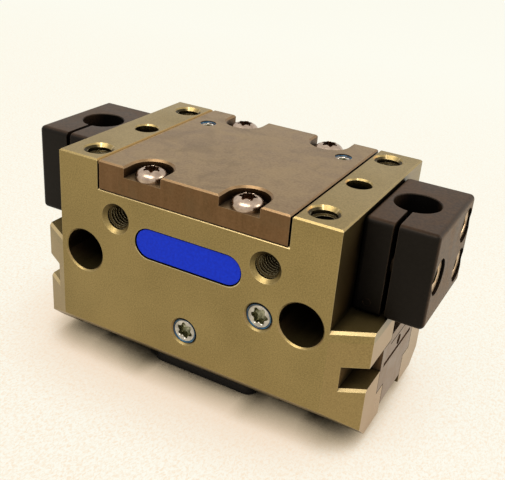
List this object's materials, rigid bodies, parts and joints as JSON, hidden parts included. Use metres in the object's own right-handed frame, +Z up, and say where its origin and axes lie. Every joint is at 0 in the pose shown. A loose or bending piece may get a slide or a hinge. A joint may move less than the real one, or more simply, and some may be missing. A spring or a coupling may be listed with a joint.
{
  "type": "pneumatic parallel gripper",
  "caption": "Compact pneumatic gripper: an oval piston with a wedge hook slides opposed steel base jaws in a T-slot; split switch brackets at both ends.",
  "frame": {"origin": "middle of the underside of the centre plate, which the gripper stands on", "axes": "+X along the jaw travel, +Y from the front with the air ports to the rear, +Z up to the mounting face"},
  "size_m": [0.0886, 0.0426, 0.0475],
  "materials": {
    "housing_anodised": "olive hard anodised, fine satin grain",
    "cover_anodised": "brown hard anodised, fine satin grain",
    "black_plastic": "matte black moulded plastic",
    "jaw_steel": "ground steel with fine scratches",
    "screw_steel": "bright zinc plated steel",
    "seal_rubber": "black nitrile rubber",
    "label_blue": "blue printed plate, left bare",
    "bush_bronze": "turned bronze",
    "piston_aluminium": "turned aluminium"
  },
  "bodies": {
    "base": {"housing": "housing_anodised", "back_cover": "cover_anodised", "cover_seal": "seal_rubber", "cover_screws": "screw_steel", "cover_plugs": "screw_steel", "rod_bush": "bush_bronze", "rod_seal": "seal_rubber", "centre_plate": "black_plastic", "centre_plate_screws": "screw_steel", "left_sensor_bracket": "black_plastic", "right_sensor_bracket": "black_plastic", "left_clamp_screw": "screw_steel", "right_clamp_screw": "screw_steel", "left_bracket_screws": "screw_steel", "right_bracket_screws": "screw_steel", "side_plugs": "screw_steel", "label_plate": "label_blue"},
    "piston": {"piston": "piston_aluminium", "piston_seal": "seal_rubber", "piston_screw": "screw_steel", "wedge_hook": "jaw_steel"},
    "left_jaw": {"left_base_jaw": "jaw_steel", "left_target_screw": "screw_steel"},
    "right_jaw": {"right_base_jaw": "jaw_steel", "right_target_screw": "screw_steel"}
  },
  "joints": [
    {"name": "piston_slide", "type": "slide", "parent": "base", "child": "piston", "axis": [0, 0, 1], "range_m": [0, 0.005]},
    {"name": "left_jaw_slide", "type": "slide", "parent": "base", "child": "left_jaw", "axis": [1, 0, 0], "range_m": [0, 0.003]},
    {"name": "right_jaw_slide", "type": "slide", "parent": "base", "child": "right_jaw", "axis": [-1, 0, 0], "range_m": [0, 0.003]}
  ],
  "couplings": [
    {"joint": "left_jaw_slide", "follows": "piston_slide", "ratio": 0.6},
    {"joint": "right_jaw_slide", "follows": "piston_slide", "ratio": 0.6}
  ]
}
